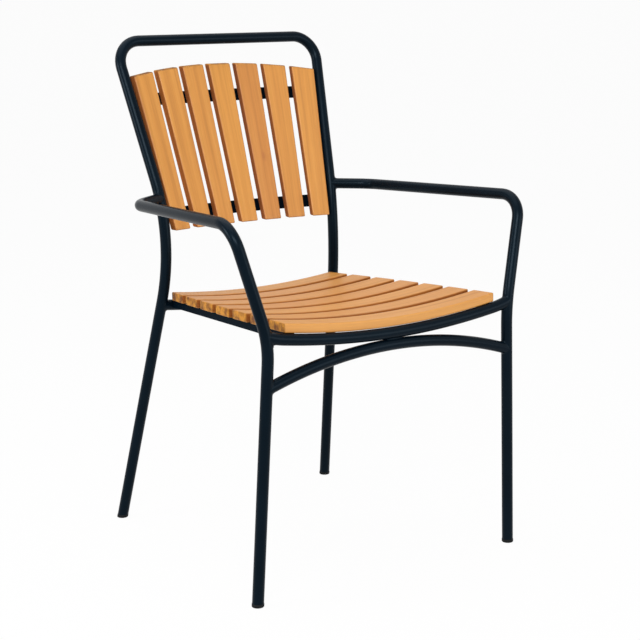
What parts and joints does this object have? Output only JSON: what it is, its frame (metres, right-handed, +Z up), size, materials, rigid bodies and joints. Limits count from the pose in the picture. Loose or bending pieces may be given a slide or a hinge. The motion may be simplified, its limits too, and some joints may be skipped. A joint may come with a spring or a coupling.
{
  "type": "garden armchair",
  "caption": "Garden armchair with a bent and welded tube frame, a dished seat of cross slats, and a fanned, bowed back of upright slats; one bent tube makes each armrest and front leg.",
  "frame": {"origin": "on the floor, in the middle of the outline seen from above", "axes": "+Z up, the front of the seat faces -Y, +X to the right when the chair is seen from its front"},
  "size_m": [0.5866, 0.5443, 0.8645],
  "materials": {
    "frame_coat": "satin powder coat",
    "slat_wood": "oiled, straight grain",
    "foot_plastic": "matte",
    "screw_steel": "plain"
  },
  "bodies": {
    "root": {"arm_leg_left": "frame_coat", "arm_leg_right": "frame_coat", "back_bar_lower": "frame_coat", "back_bar_upper": "frame_coat", "back_hoop": "frame_coat", "back_screws": "screw_steel", "back_slat_1": "slat_wood", "back_slat_2": "slat_wood", "back_slat_3": "slat_wood", "back_slat_4": "slat_wood", "back_slat_5": "slat_wood", "back_slat_6": "slat_wood", "back_slat_7": "slat_wood", "feet": "foot_plastic", "front_arch": "frame_coat", "seat_front_rail": "frame_coat", "seat_rear_rail": "frame_coat", "seat_screws": "screw_steel", "seat_side_rail_left": "frame_coat", "seat_side_rail_right": "frame_coat", "seat_slat_1": "slat_wood", "seat_slat_2": "slat_wood", "seat_slat_3": "slat_wood", "seat_slat_4": "slat_wood", "seat_slat_5": "slat_wood", "seat_slat_6": "slat_wood", "seat_slat_7": "slat_wood"}
  },
  "joints": []
}
